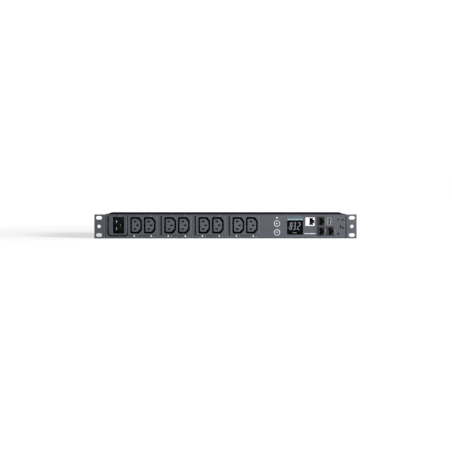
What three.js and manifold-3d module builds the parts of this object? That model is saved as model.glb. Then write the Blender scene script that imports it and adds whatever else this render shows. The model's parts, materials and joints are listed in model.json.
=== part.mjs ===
// A rack power strip, one rack unit high, for a 19-inch rack. A large inlet at the left feeds eight
// switched outlets in four pairs. At the right are two push buttons, a display and the network sockets.
// x runs along the strip, y from the panel's face towards the back, z up from the strip's mid height.
// Everything is in millimetres, and the last lines stand the strip on z = 0 and centre it front to back.

import * as THREE from 'three';
import { mergeVertices } from 'three/addons/utils/BufferGeometryUtils.js';
import Module from 'manifold-3d';

const wasm = await Module();
wasm.setup();

// ---- Driving dimensions: the case ----

const RACK_WIDTH = 482.6; // tip to tip across the rack ears
const HEIGHT = 44.45; // one rack unit
const DEPTH = 185; // panel face to back wall
const BODY_WIDTH = 441.4;
const TOP = HEIGHT / 2;
const SIDE = BODY_WIDTH / 2;

const GAP = 0.3; // between neighbouring pieces
const PANEL_SHEET = 1.8;
const TRAY_SHEET = 1.4;
const EAR_SHEET = 2;
const PANEL_BEND = 2.5; // outer radius of the panel's folded edges
const LIP_DEPTH = 9; // how far the panel's top and bottom edges fold back
const RETURN_DEPTH = 26; // how far its side edges fold back
const TONGUE_HALF_LENGTH = 205; // joggled tongues that hook behind the panel's lips
const TONGUE_REACH = 2.5;

const EAR_FLANGE = 50;
const EAR_BEND = 2.5;
const EAR_HOLE_X = 232.55; // 465.1 mm between the two ears' holes
const EAR_HOLE_Z = 15.875; // 31.75 mm between an ear's slots
const EAR_SLOT = { length: 10.8, width: 6.4 };
const EAR_ROUND_HOLE_RADIUS = 3.1;

// ---- Driving dimensions: inlet and outlets, each turned a quarter so that its long side is upright ----

const SOCKET_Z = 2.2; // mid height of the inlet and outlets
const BEZEL_HEIGHT = 36.4;
const BEZEL_PROUD = 3;
const BEZEL_EDGE = 0.6;
const SEAT_GAP = 0.05; // under a flange that sits on the panel

const INLET_X = -197;
const INLET_BEZEL = { shift: -0.85, width: 33.7, topRadius: 2, bottomRadius: 4.6 };
const INLET_BODY = { width: 27, height: 32.4, back: 27 };
const INLET_WELL = { width: 21.2, height: 31, radius: 1.5, floor: 22 };
const BLADE = { thickness: 2, height: 8, front: 4, tip: 1.5, tabEnd: 36 };
const BLADES = [
  { name: 'inlet_pin_line', x: -4, z: 6.5 },
  { name: 'inlet_pin_earth', x: 4, z: 0 },
  { name: 'inlet_pin_neutral', x: -4, z: -6.5 },
];

const PAIR_COUNT = 4;
const FIRST_PAIR_X = -151.9;
const PAIR_PITCH = 62.6;
const OUTLET_OFFSETS = [-12.5, 12.5]; // the two outlets of a pair
const PAIR_BEZEL = { shift: -0.45, width: 54.7, radius: 1.2 };
const PAIR_BODY = { width: 50, height: 32.4, back: 22 };
const OUTLET_WELL = { width: 21.8, height: 30.6, radius: 2.8, chamferX: 5.5, chamferZ: 7.1, floor: 17 };
const CORE = { width: 15.4, height: 23.4, radius: 1.8, chamferX: 5, chamferZ: 5.7, front: -2.7, root: 20 };
const CONTACT_SLOT = { width: 5, height: 2.7 };
const CONTACTS = [
  { name: 'neutral', x: -2, z: 7 },
  { name: 'earth', x: 2.4, z: 0 },
  { name: 'line', x: -2, z: -7 },
];

// ---- Driving dimensions: lamps, buttons, display and sockets ----

const LAMP_COUNT = 8;
const FIRST_LAMP_X = -167.9;
const LAMP_PITCH = 31.3;
const LAMP_Z = -17.6;
const LAMP_RADIUS = 1.3;
const LAMP_PROUD = 0.8;
const LAMP_STRIP = { front: 3, back: 6, halfHeight: 1.2 };
const STATUS_LAMP = { x: 94.7, z: 16, radius: 1.5, collar: 2.2, back: 15.7 };

const BUTTON_X = 94.6;
const BUTTONS = [
  { name: 'upper', z: 5.5 },
  { name: 'lower', z: -11.1 },
];
const RING = { flange: 5.9, barrel: 5.1, bore: 4.5, proud: 0.9, back: 4 };
const CAP = { radius: 4.2, front: -0.5, edge: 0.4, collar: 5, collarBack: 5.3, stem: 2, stemEnd: 9.3 };
const PLUNGER = { radius: 1.7, front: 9.6, end: 12.9 };
const SWITCH = { half: 3.1, front: 11.7, well: 2, wellEnd: 14.2 };

const BOARD_FRONT = 16; // the two upright boards behind the panel
const BOARD_SHEET = 1.6;
const BOARD_HALF_HEIGHT = 19;
const WINDOW = { x0: 113.3, x1: 142.3, z0: -15, z1: 10.7, back: 2 };

const RJ_WELL_DEPTH = 13;
const RJ_MOUTH = { width: 6.3, height: 12.8, notch: 2.5, notchHeight: 5.8 };
const JACKS = [ // mouth: the opening's left edge and mid height
  { name: 'ethernet_jack', x0: 146.8, x1: 163.9, z0: 1, z1: 16.6, mouth: [154.4, 9.1], front: -1 },
  { name: 'serial_jack', x0: 168, x1: 182, z0: 1.3, z1: 17.7, mouth: [172.4, 9.3], front: -0.3 },
  { name: 'sensor_jack_left', x0: 168, x1: 182, z0: -16.9, z1: -0.6, mouth: [172.4, -8.7], front: -0.3 },
  { name: 'sensor_jack_right', x0: 185.4, x1: 199.2, z0: -16.9, z1: -0.6, mouth: [189.5, -8.7], front: -0.3 },
];
const USB = { x: 190.4, z: 9.4, width: 6.8, height: 14.2, mouthWidth: 5.2, mouthHeight: 12.6, front: -0.3 };
const USB_TONGUE = { x: 189.9, width: 1.9, height: 11.2, front: 0.6 };

// Small holes through the panel: screws at both ends, and the ones round the reset slot.
const PANEL_SCREWS = [
  [215.8, 12.3],
  [215.8, -2.7],
  [-215.8, 12.3],
  [-215.8, -2.7],
  [207.6, 12.7],
  [207.6, -13.4],
];
const PANEL_SCREW_HOLE = 1.3;
const RESET_SLOT = { x: 211.6, z: 0, width: 1.8, height: 5.5 };

// ---- Driving dimensions: inside ----

const RELAY_BOARD = { x0: -208, x1: 72, y0: 72, y1: 150, z: -13 };
const BOARD_TOP = RELAY_BOARD.z + BOARD_SHEET + GAP;
const BOSS_RADIUS = 3;
const RELAY = { width: 12.7, depth: 29, height: 20, pitch: 15.5, front: 104, count: 4 };
const BUSBAR = { thickness: 1.5, halfHeight: 3, overhang: 4 };
const NEUTRAL_BAR_Y = 26;
const EARTH_BAR_Y = 32;
const SIDE_SCREW = { head: 3.5, headHeight: 2, shank: 1.9, hole: 2.2, tip: 217 };
const EAR_SCREW_Y = 18;
const EAR_SCREW_Z = 11;
const COVER_SCREW = { y: 130, z: 15 };

// ---- Finishes ----

function finish(color, roughness, metalness = 0) {
  return new THREE.MeshStandardMaterial({ color, roughness, metalness });
}
const greyPaint = () => finish(0x61656c, 0.6);
const darkPaint = () => finish(0x25272b, 0.7);
const greyPlastic = () => finish(0x5a5d64, 0.5);
const blackPlastic = () => finish(0x17181b, 0.45);
const palePlastic = () => finish(0xb9bdc6, 0.4);
const whitePlastic = () => finish(0xf2f4f6, 0.4);
const glossBlack = () => finish(0x0b0b10, 0.08);
const clearLens = () => finish(0xdff2cf, 0.2);
const bareSteel = () => finish(0xb8bcc0, 0.35, 1);
const copper = () => finish(0xb87347, 0.35, 1);
const boardGreen = () => finish(0x1f5a38, 0.5);
const insulation = (color) => finish(color, 0.5);

// ---- Solids ----

// Turns closed geometry into a solid that can be joined and cut.
function solidFrom(geometry) {
  const bare = geometry.clone();
  bare.deleteAttribute('normal');
  bare.deleteAttribute('uv');
  const merged = mergeVertices(bare);
  const corners = merged.index.array;
  const triVerts = [];
  for (let i = 0; i < corners.length; i += 3) {
    const [a, b, c] = corners.slice(i, i + 3);
    if (a !== b && b !== c && c !== a) triVerts.push(a, b, c);
  }
  return new wasm.Manifold(new wasm.Mesh({
    numProp: 3,
    vertProperties: new Float32Array(merged.attributes.position.array),
    triVerts: new Uint32Array(triVerts),
  }));
}

function geometryFrom(solid) {
  const mesh = solid.getMesh();
  const indexed = new THREE.BufferGeometry();
  indexed.setAttribute('position', new THREE.BufferAttribute(new Float32Array(mesh.vertProperties), 3));
  indexed.setIndex(new THREE.BufferAttribute(new Uint32Array(mesh.triVerts), 1));
  const geometry = indexed.toNonIndexed();
  geometry.computeVertexNormals();
  return geometry;
}

function join(...pieces) {
  return geometryFrom(pieces.map(solidFrom).reduce((whole, piece) => whole.add(piece)));
}

function cut(piece, tools) {
  return geometryFrom(tools.map(solidFrom).reduce((rest, tool) => rest.subtract(tool), solidFrom(piece)));
}

// ---- Shapes ----

// A box between two opposite corners.
function block(x0, x1, y0, y1, z0, z1) {
  const geometry = new THREE.BoxGeometry(x1 - x0, y1 - y0, z1 - z0);
  return geometry.translate((x0 + x1) / 2, (y0 + y1) / 2, (z0 + z1) / 2);
}

// A round bar along y, or along x or z when turned.
function bar(radius, y0, y1, x = 0, z = 0, sides = 16) {
  const geometry = new THREE.CylinderGeometry(radius, radius, y1 - y0, sides);
  return geometry.translate(x, (y0 + y1) / 2, z);
}

function barAlongX(radius, x0, x1, y, z, sides = 12) {
  const geometry = new THREE.CylinderGeometry(radius, radius, x1 - x0, sides);
  return geometry.rotateZ(Math.PI / 2).translate((x0 + x1) / 2, y, z);
}

function barAlongZ(radius, z0, z1, x, y, sides = 12) {
  const geometry = new THREE.CylinderGeometry(radius, radius, z1 - z0, sides);
  return geometry.rotateX(Math.PI / 2).translate(x, y, (z0 + z1) / 2);
}

// An outline through the corners [u, v, radius]: a corner that has a radius is rounded with an arc.
function outline(corners, steps = 4) {
  const points = [];
  corners.forEach(([u, v, radius = 0], i) => {
    const corner = new THREE.Vector2(u, v);
    if (radius === 0) {
      points.push(corner);
      return;
    }
    const before = corners.at(i - 1);
    const after = corners[(i + 1) % corners.length];
    const back = new THREE.Vector2(before[0] - u, before[1] - v).normalize();
    const on = new THREE.Vector2(after[0] - u, after[1] - v).normalize();
    const half = back.angleTo(on) / 2;
    const start = corner.clone().addScaledVector(back, radius / Math.tan(half));
    const end = corner.clone().addScaledVector(on, radius / Math.tan(half));
    const inward = back.clone().add(on).normalize();
    const centre = corner.clone().addScaledVector(inward, radius / Math.sin(half));
    const from = start.clone().sub(centre).angle();
    let turn = end.clone().sub(centre).angle() - from;
    if (turn > Math.PI) turn -= 2 * Math.PI;
    if (turn < -Math.PI) turn += 2 * Math.PI;
    for (let step = 0; step <= steps; step += 1) {
      const angle = from + (turn * step) / steps;
      points.push(new THREE.Vector2(Math.cos(angle), Math.sin(angle)).multiplyScalar(radius).add(centre));
    }
  });
  return new THREE.Shape(points);
}

// An upright rectangle about (x, z), with one radius for its top corners and one for its bottom corners.
function rectangle(x, z, width, height, topRadius = 0, bottomRadius = topRadius, steps = 4) {
  const [left, right] = [x - width / 2, x + width / 2];
  const [low, high] = [z - height / 2, z + height / 2];
  const corners = [
    [left, low, bottomRadius],
    [right, low, bottomRadius],
    [right, high, topRadius],
    [left, high, topRadius],
  ];
  return outline(corners, steps);
}

// The outlet's keyed outline: rounded at the left, both corners cut off at the right.
function keyedOutline({ width, height, radius, chamferX, chamferZ }, grow = 0) {
  const right = width / 2 + grow;
  const high = height / 2 + grow;
  const cornerCut = grow * Math.SQRT2 - grow; // keeps the margin even along the sloping corners
  return outline([
    [-right, -high, radius + grow],
    [right - chamferX + cornerCut, -high],
    [right, -high + chamferZ - cornerCut],
    [right, high - chamferZ + cornerCut],
    [right - chamferX + cornerCut, high],
    [-right, high, radius + grow],
  ], 3);
}

// An outline in x and z, pushed from y0 back to y1. A bevel trims both of its ends.
function pushedBack(shape, y0, y1, bevel = 0) {
  const geometry = new THREE.ExtrudeGeometry(shape, {
    depth: y1 - y0 - 2 * bevel,
    bevelEnabled: bevel > 0,
    bevelThickness: bevel,
    bevelSize: bevel,
    bevelOffset: -bevel,
    bevelSegments: 1,
  });
  return geometry.rotateX(Math.PI / 2).translate(0, y1 - bevel, 0);
}

// An outline in y and z, run along x from x0 to x1.
function runAlong(shape, x0, x1) {
  const geometry = new THREE.ExtrudeGeometry(shape, { depth: x1 - x0, bevelEnabled: false });
  const axes = new THREE.Matrix4().makeBasis(
    new THREE.Vector3(0, 1, 0),
    new THREE.Vector3(0, 0, 1),
    new THREE.Vector3(1, 0, 0),
  );
  return geometry.applyMatrix4(axes).translate(x0, 0, 0);
}

// A turned piece about the y axis, from its profile [radius, y].
function turned(profile, sides = 24) {
  return new THREE.LatheGeometry(profile.map(([radius, y]) => new THREE.Vector2(radius, y)), sides);
}

function namedMesh(name, geometry, material, x = 0, y = 0, z = 0) {
  const mesh = new THREE.Mesh(geometry, material);
  mesh.name = name;
  mesh.position.set(x, y, z);
  return mesh;
}

// ---- Where the panel is cut ----

const pairCentres = Array.from({ length: PAIR_COUNT }, (_, i) => FIRST_PAIR_X + i * PAIR_PITCH);
const lampCentres = Array.from({ length: LAMP_COUNT }, (_, i) => FIRST_LAMP_X + i * LAMP_PITCH);

function throughPanel(x, z, width, height) {
  return block(x - width / 2, x + width / 2, -1, PANEL_SHEET + 1, z - height / 2, z + height / 2);
}

function roundThroughPanel(x, z, radius, sides = 16) {
  return bar(radius, -1, PANEL_SHEET + 1, x, z, sides);
}

function windowThroughPanel(box) {
  const [width, height] = [box.x1 - box.x0 + 2 * GAP, box.z1 - box.z0 + 2 * GAP];
  return throughPanel((box.x0 + box.x1) / 2, (box.z0 + box.z1) / 2, width, height);
}

function panelCutters() {
  const margin = 2 * GAP;
  return [
    throughPanel(INLET_X, SOCKET_Z, INLET_BODY.width + margin, INLET_BODY.height + margin),
    ...pairCentres.map((x) => throughPanel(x, SOCKET_Z, PAIR_BODY.width + margin, PAIR_BODY.height + margin)),
    ...lampCentres.map((x) => roundThroughPanel(x, LAMP_Z, LAMP_RADIUS + GAP, 12)),
    roundThroughPanel(STATUS_LAMP.x, STATUS_LAMP.z, STATUS_LAMP.radius + GAP, 12),
    ...BUTTONS.map(({ z }) => roundThroughPanel(BUTTON_X, z, RING.barrel + GAP, 24)),
    windowThroughPanel(WINDOW),
    ...JACKS.map(windowThroughPanel),
    throughPanel(USB.x, USB.z, USB.width + margin, USB.height + margin),
    ...PANEL_SCREWS.map(([x, z]) => roundThroughPanel(x, z, PANEL_SCREW_HOLE, 12)),
    throughPanel(RESET_SLOT.x, RESET_SLOT.z, RESET_SLOT.width, RESET_SLOT.height),
  ];
}

// ---- The case ----

// Holes for the screws that hold an ear, the tray and the panel's side return together.
function earScrewHoles() {
  return [-EAR_SCREW_Z, EAR_SCREW_Z].flatMap((z) => [
    barAlongX(SIDE_SCREW.hole, -SIDE - 5, -SIDE + 5, EAR_SCREW_Y, z),
    barAlongX(SIDE_SCREW.hole, SIDE - 5, SIDE + 5, EAR_SCREW_Y, z),
  ]);
}

function coverScrewHoles() {
  const { y, z } = COVER_SCREW;
  return [-SIDE, SIDE].map((x) => barAlongX(SIDE_SCREW.hole, x - 5, x + 5, y, z));
}

// A folded face plate: the top and bottom edges turn back as lips, and a return closes each end.
function frontPanel() {
  const inner = TOP - PANEL_SHEET;
  const profile = outline([
    [LIP_DEPTH, -TOP],
    [0, -TOP, PANEL_BEND],
    [0, TOP, PANEL_BEND],
    [LIP_DEPTH, TOP],
    [LIP_DEPTH, inner],
    [PANEL_SHEET, inner, PANEL_BEND - PANEL_SHEET],
    [PANEL_SHEET, -inner, PANEL_BEND - PANEL_SHEET],
    [LIP_DEPTH, -inner],
  ]);
  const face = runAlong(profile, -SIDE, SIDE);
  const outer = SIDE - TRAY_SHEET - GAP;
  const returnHeight = inner - GAP;
  const returns = [-1, 1].map((side) => {
    const [x0, x1] = [side * outer, side * (outer - PANEL_SHEET)].sort((a, b) => a - b);
    return block(x0, x1, PANEL_SHEET / 2, RETURN_DEPTH, -returnHeight, returnHeight);
  });
  return cut(join(face, ...returns), [...panelCutters(), ...earScrewHoles()]);
}

// A tongue that steps in from a sheet's edge and hooks behind the panel's folded lip.
function tongue(sign) {
  const outer = TOP - PANEL_SHEET - GAP;
  const inner = outer - TRAY_SHEET;
  const edge = LIP_DEPTH + GAP;
  const between = (a, b) => [sign * a, sign * b].sort((p, q) => p - q);
  const [hookLow, hookHigh] = between(inner, outer);
  const [webLow, webHigh] = between(inner, TOP);
  const length = TONGUE_HALF_LENGTH;
  return [
    block(-length, length, LIP_DEPTH - TONGUE_REACH, edge + TRAY_SHEET, hookLow, hookHigh),
    block(-length, length, edge, edge + TRAY_SHEET, webLow, webHigh),
  ];
}

// Pillars pressed into the floor, which carry the relay board.
function boardBosses() {
  const { x0, x1, y0, y1, z } = RELAY_BOARD;
  const inset = 6;
  const places = [x0 + inset, (x0 + x1) / 2, x1 - inset].flatMap((x) => [[x, y0 + inset], [x, y1 - inset]]);
  return places.map(([x, y]) => barAlongZ(BOSS_RADIUS, -TOP, z - GAP, x, y, 8));
}

function chassisTray() {
  const start = LIP_DEPTH + GAP;
  const wallTop = TOP - TRAY_SHEET - GAP;
  const behindLip = TOP - PANEL_SHEET - GAP;
  const sides = [-1, 1].flatMap((side) => {
    const [x0, x1] = [side * SIDE, side * (SIDE - TRAY_SHEET)].sort((a, b) => a - b);
    return [
      block(x0, x1, PANEL_SHEET + GAP, start + 1, -behindLip, behindLip),
      block(x0, x1, start, DEPTH, -TOP, wallTop),
    ];
  });
  const tray = join(
    block(-SIDE, SIDE, start, DEPTH, -TOP, -TOP + TRAY_SHEET),
    block(-SIDE, SIDE, DEPTH - TRAY_SHEET, DEPTH, -TOP, wallTop),
    ...sides,
    ...tongue(-1),
    ...boardBosses(),
  );
  return cut(tray, [...earScrewHoles(), ...coverScrewHoles()]);
}

// A lid with a tongue at the front and flanges that hang inside the tray's walls.
function topCover() {
  const flangeDrop = 12;
  const start = LIP_DEPTH + GAP;
  const outer = SIDE - TRAY_SHEET - GAP;
  const flangeFront = RETURN_DEPTH + 4;
  const low = TOP - flangeDrop;
  const flanges = [-1, 1].map((side) => {
    const [x0, x1] = [side * outer, side * (outer - TRAY_SHEET)].sort((a, b) => a - b);
    return block(x0, x1, flangeFront, DEPTH - 10, low, TOP);
  });
  const backOuter = DEPTH - TRAY_SHEET - GAP;
  const cover = join(
    block(-SIDE, SIDE, start, DEPTH, TOP - TRAY_SHEET, TOP),
    block(-outer + 6, outer - 6, backOuter - TRAY_SHEET, backOuter, low, TOP),
    ...flanges,
    ...tongue(1),
  );
  return cut(cover, coverScrewHoles());
}

// An angle: its slotted face bolts to the rack, and its flange is screwed to the side of the tray.
function rackEar(side) {
  const flange = SIDE + GAP;
  const profile = outline([
    [side * RACK_WIDTH / 2, 0],
    [side * flange, 0, EAR_BEND],
    [side * flange, EAR_FLANGE],
    [side * (flange + EAR_SHEET), EAR_FLANGE],
    [side * (flange + EAR_SHEET), EAR_SHEET, EAR_BEND - EAR_SHEET],
    [side * RACK_WIDTH / 2, EAR_SHEET],
  ]);
  const angle = new THREE.ExtrudeGeometry(profile, { depth: HEIGHT, bevelEnabled: false });
  angle.translate(0, 0, -TOP);
  const holeX = side * EAR_HOLE_X;
  const { length, width } = EAR_SLOT;
  const slots = [-EAR_HOLE_Z, EAR_HOLE_Z].map((z) => {
    const shape = rectangle(holeX, z, length, width, width / 2 - 0.01, width / 2 - 0.01, 6);
    return pushedBack(shape, -1, EAR_SHEET + 1);
  });
  const roundHole = bar(EAR_ROUND_HOLE_RADIUS, -1, EAR_SHEET + 1, holeX, 0, 20);
  return cut(angle, [...slots, roundHole, ...earScrewHoles()]);
}

// A pan-head screw along x, driven in from one side.
function sideScrew(side, seat) {
  const { head, headHeight, shank, tip } = SIDE_SCREW;
  const profile = [
    [0, side * tip],
    [shank, side * tip],
    [shank, side * seat],
    [head, side * seat],
    [head, side * (seat + headHeight * 0.6)],
    [head * 0.7, side * (seat + headHeight)],
    [0, side * (seat + headHeight)],
  ];
  const outward = side > 0 ? profile : profile.reverse();
  return turned(outward, 12).rotateZ(-Math.PI / 2);
}

function caseGroup() {
  const group = new THREE.Group();
  group.add(namedMesh('chassis_tray', chassisTray(), darkPaint()));
  group.add(namedMesh('front_panel', frontPanel(), greyPaint()));
  group.add(namedMesh('top_cover', topCover(), darkPaint()));
  const earSeat = SIDE + GAP + EAR_SHEET + SEAT_GAP;
  const coverSeat = SIDE + SEAT_GAP;
  for (const [sideName, side] of [['left', -1], ['right', 1]]) {
    group.add(namedMesh(`rack_ear_${sideName}`, rackEar(side), greyPaint()));
    for (const [level, z] of [['upper', EAR_SCREW_Z], ['lower', -EAR_SCREW_Z]]) {
      const name = `ear_screw_${sideName}_${level}`;
      group.add(namedMesh(name, sideScrew(side, earSeat), bareSteel(), 0, EAR_SCREW_Y, z));
    }
    const { y, z } = COVER_SCREW;
    group.add(namedMesh(`cover_screw_${sideName}`, sideScrew(side, coverSeat), bareSteel(), 0, y, z));
  }
  return group;
}

// ---- The inlet ----

// A flanged shell with a deep well. Slots in its floor hold the three blades.
function inletHousing() {
  const { shift, width, topRadius, bottomRadius } = INLET_BEZEL;
  const flangeOutline = rectangle(shift, 0, width, BEZEL_HEIGHT, topRadius, bottomRadius);
  const flange = pushedBack(flangeOutline, -BEZEL_PROUD, -SEAT_GAP, BEZEL_EDGE);
  const { width: bodyWidth, height: bodyHeight, back } = INLET_BODY;
  const body = block(-bodyWidth / 2, bodyWidth / 2, -1, back, -bodyHeight / 2, bodyHeight / 2);
  const wellOutline = rectangle(0, 0, INLET_WELL.width, INLET_WELL.height, INLET_WELL.radius);
  const well = pushedBack(wellOutline, -BEZEL_PROUD - 1, INLET_WELL.floor);
  const slotWidth = BLADE.thickness + 2 * GAP;
  const slotHeight = BLADE.height + 2 * GAP;
  const slots = BLADES.map(({ x, z }) => pushedBack(rectangle(x, z, slotWidth, slotHeight), 0, back + 1));
  return cut(join(flange, body), [well, ...slots]);
}

// A flat blade with a tapered tip at the front and a solder tab at the back.
function inletBlade() {
  const { thickness, height, front, tip, tabEnd } = BLADE;
  const half = height / 2;
  const tabHalf = half * 0.6;
  const tabStart = INLET_BODY.back + 1;
  const profile = outline([
    [front, -half + tip],
    [front + tip, -half],
    [tabStart, -half],
    [tabStart, -tabHalf],
    [tabEnd, -tabHalf],
    [tabEnd, tabHalf],
    [tabStart, tabHalf],
    [tabStart, half],
    [front + tip, half],
    [front, half - tip],
  ]);
  return runAlong(profile, -thickness / 2, thickness / 2);
}

function inletGroup() {
  const group = new THREE.Group();
  group.position.set(INLET_X, 0, SOCKET_Z);
  group.add(namedMesh('inlet_housing', inletHousing(), blackPlastic()));
  for (const { name, x, z } of BLADES) {
    group.add(namedMesh(name, inletBlade(), bareSteel(), x, 0, z));
  }
  return group;
}

// ---- The outlets ----

// Two keyed wells in one moulding. A pocket in each well's floor takes the root of a contact core.
function outletHousing() {
  const { shift, width, radius } = PAIR_BEZEL;
  const flangeOutline = rectangle(shift, 0, width, BEZEL_HEIGHT, radius);
  const flange = pushedBack(flangeOutline, -BEZEL_PROUD, -SEAT_GAP, BEZEL_EDGE);
  const { width: bodyWidth, height: bodyHeight, back } = PAIR_BODY;
  const body = block(-bodyWidth / 2, bodyWidth / 2, -1, back, -bodyHeight / 2, bodyHeight / 2);
  const cutters = OUTLET_OFFSETS.flatMap((x) => [
    pushedBack(keyedOutline(OUTLET_WELL), -BEZEL_PROUD - 1, OUTLET_WELL.floor).translate(x, 0, 0),
    pushedBack(keyedOutline(CORE, GAP), 0, CORE.root + GAP).translate(x, 0, 0),
  ]);
  return cut(join(flange, body), cutters);
}

// The block that a plug's shroud slides over, with a slot for each of the three contacts.
function outletCore() {
  const shape = keyedOutline(CORE);
  for (const { x, z } of CONTACTS) {
    shape.holes.push(rectangle(x, z, CONTACT_SLOT.width, CONTACT_SLOT.height));
  }
  return pushedBack(shape, CORE.front, CORE.root);
}

function outletGroups() {
  const housing = outletHousing();
  const core = outletCore();
  return pairCentres.map((x, pair) => {
    const group = new THREE.Group();
    group.position.set(x, 0, SOCKET_Z);
    group.add(namedMesh(`outlet_housing_${pair + 1}`, housing, greyPlastic()));
    OUTLET_OFFSETS.forEach((offset, i) => {
      const number = 2 * pair + i + 1;
      group.add(namedMesh(`outlet_core_${number}`, core, greyPlastic(), offset));
    });
    return group;
  });
}

// ---- Lamps ----

// One clear moulding: a rail behind the panel with a lens standing out below each outlet.
function outletLenses() {
  const last = lampCentres.at(-1);
  const { front, back, halfHeight } = LAMP_STRIP;
  const rail = block(FIRST_LAMP_X - 3, last + 3, front, back, -halfHeight, halfHeight);
  const lenses = lampCentres.map((x) => bar(LAMP_RADIUS, -LAMP_PROUD, front + 1, x, 0, 12));
  return join(rail, ...lenses);
}

function statusLens() {
  const { radius, collar, back } = STATUS_LAMP;
  const collarFront = PANEL_SHEET + GAP;
  return turned([
    [0, -LAMP_PROUD],
    [radius, -LAMP_PROUD],
    [radius, collarFront],
    [collar, collarFront],
    [collar, collarFront + 1.5],
    [radius, collarFront + 1.5],
    [radius, back],
    [0, back],
  ], 12);
}

function lampGroup() {
  const group = new THREE.Group();
  group.add(namedMesh('outlet_lenses', outletLenses(), clearLens(), 0, 0, LAMP_Z));
  group.add(namedMesh('status_lens', statusLens(), clearLens(), STATUS_LAMP.x, 0, STATUS_LAMP.z));
  return group;
}

// ---- Push buttons: each cap slides straight in, and its stem pushes the plunger of a small switch ----

function buttonRing() {
  const { flange, barrel, bore, proud, back } = RING;
  return turned([
    [bore, -proud + 0.3],
    [bore + 0.3, -proud],
    [flange - 0.4, -proud],
    [flange, -proud + 0.4],
    [flange, -SEAT_GAP],
    [barrel, -SEAT_GAP],
    [barrel, back],
    [bore, back],
    [bore, -proud + 0.3],
  ]);
}

function buttonCap() {
  const { radius, front, edge, collar, collarBack, stem, stemEnd } = CAP;
  const collarFront = RING.back + GAP;
  return turned([
    [0, front],
    [radius - edge, front],
    [radius, front + edge],
    [radius, collarFront],
    [collar, collarFront],
    [collar, collarBack],
    [stem, collarBack],
    [stem, stemEnd],
    [0, stemEnd],
  ]);
}

function switchBody() {
  const { half, front, well, wellEnd } = SWITCH;
  const body = block(-half, half, front, BOARD_FRONT - GAP, -half, half);
  return cut(body, [bar(well, front - 1, wellEnd, 0, 0, 12)]);
}

function buttonGroups() {
  return BUTTONS.map(({ name, z }) => {
    const group = new THREE.Group();
    group.position.set(BUTTON_X, 0, z);
    group.add(namedMesh(`button_ring_${name}`, buttonRing(), palePlastic()));
    group.add(namedMesh(`button_cap_${name}`, buttonCap(), greyPlastic()));
    const plunger = bar(PLUNGER.radius, PLUNGER.front, PLUNGER.end, 0, 0, 12);
    group.add(namedMesh(`switch_plunger_${name}`, plunger, blackPlastic()));
    group.add(namedMesh(`switch_body_${name}`, switchBody(), blackPlastic()));
    return group;
  });
}

// ---- Display and network sockets ----

function displayGroup() {
  const group = new THREE.Group();
  const { x0, x1, z0, z1, back } = WINDOW;
  group.add(namedMesh('display_window', block(x0, x1, 0, back, z0, z1), glossBlack()));
  const inset = 1;
  const module = block(x0 + inset, x1 - inset, back + GAP, BOARD_FRONT - GAP, z0 + inset, z1 - inset);
  group.add(namedMesh('display_module', module, palePlastic()));
  const height = BOARD_HALF_HEIGHT;
  const board = block(86, 144.5, BOARD_FRONT, BOARD_FRONT + BOARD_SHEET, -height, height);
  group.add(namedMesh('display_board', board, boardGreen()));
  return group;
}

// A network jack whose latch notch points to the right.
function networkJack({ x0, x1, z0, z1, mouth: [mouthX, mouthZ], front }) {
  const { width, height, notch, notchHeight } = RJ_MOUTH;
  const right = mouthX + width;
  const opening = outline([
    [mouthX, mouthZ - height / 2],
    [right, mouthZ - height / 2],
    [right, mouthZ - notchHeight / 2],
    [right + notch, mouthZ - notchHeight / 2],
    [right + notch, mouthZ + notchHeight / 2],
    [right, mouthZ + notchHeight / 2],
    [right, mouthZ + height / 2],
    [mouthX, mouthZ + height / 2],
  ]);
  const body = block(x0, x1, front, BOARD_FRONT - GAP, z0, z1);
  return cut(body, [pushedBack(opening, front - 1, RJ_WELL_DEPTH)]);
}

function usbShell() {
  const { x, z, width, height, mouthWidth, mouthHeight, front } = USB;
  const shell = pushedBack(rectangle(x, z, width, height, 0.6), front, BOARD_FRONT - GAP);
  const mouth = pushedBack(rectangle(x, z, mouthWidth, mouthHeight), front - 1, RJ_WELL_DEPTH);
  return cut(shell, [mouth]);
}

function networkGroup() {
  const group = new THREE.Group();
  for (const jack of JACKS) {
    const plastic = jack.name === 'ethernet_jack' ? whitePlastic() : blackPlastic();
    group.add(namedMesh(jack.name, networkJack(jack), plastic));
  }
  group.add(namedMesh('usb_shell', usbShell(), bareSteel()));
  const { x, width, height, front } = USB_TONGUE;
  const [low, high] = [USB.z - height / 2, USB.z + height / 2];
  const tongueBlock = block(x - width / 2, x + width / 2, front, RJ_WELL_DEPTH - GAP, low, high);
  group.add(namedMesh('usb_tongue', tongueBlock, whitePlastic()));
  const halfHeight = BOARD_HALF_HEIGHT;
  const board = block(145.5, 204, BOARD_FRONT, BOARD_FRONT + BOARD_SHEET, -halfHeight, halfHeight);
  group.add(namedMesh('network_board', board, boardGreen()));
  return group;
}

// ---- Power electronics inside ----

// Four relay cases that stand side by side on one carrier strip.
function relayBank() {
  const { width, depth, height, pitch, count } = RELAY;
  const stripHeight = 2;
  const cases = Array.from({ length: count }, (_, i) => (
    block(i * pitch, i * pitch + width, 0, depth, 0, height)
  ));
  return join(block(0, (count - 1) * pitch + width, 8, depth - 8, 0, stripHeight), ...cases);
}

// A laminated core with a winding bobbin through its middle.
function supplyTransformer() {
  return join(block(-16, 16, -7, 7, 0, 24), block(-9, 9, -13, 13, 4, 20));
}

// A glass tube between two metal caps.
function supplyFuse() {
  const profile = [
    [0, -10],
    [2.6, -10],
    [2.6, -5],
    [2.1, -5],
    [2.1, 5],
    [2.6, 5],
    [2.6, 10],
    [0, 10],
  ];
  return turned(profile, 12).rotateZ(-Math.PI / 2);
}

// A ring that the line wire passes through.
function currentTransformer() {
  return turned([
    [6, -5],
    [12, -5],
    [12, 5],
    [6, 5],
    [6, -5],
  ], 20);
}

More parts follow.
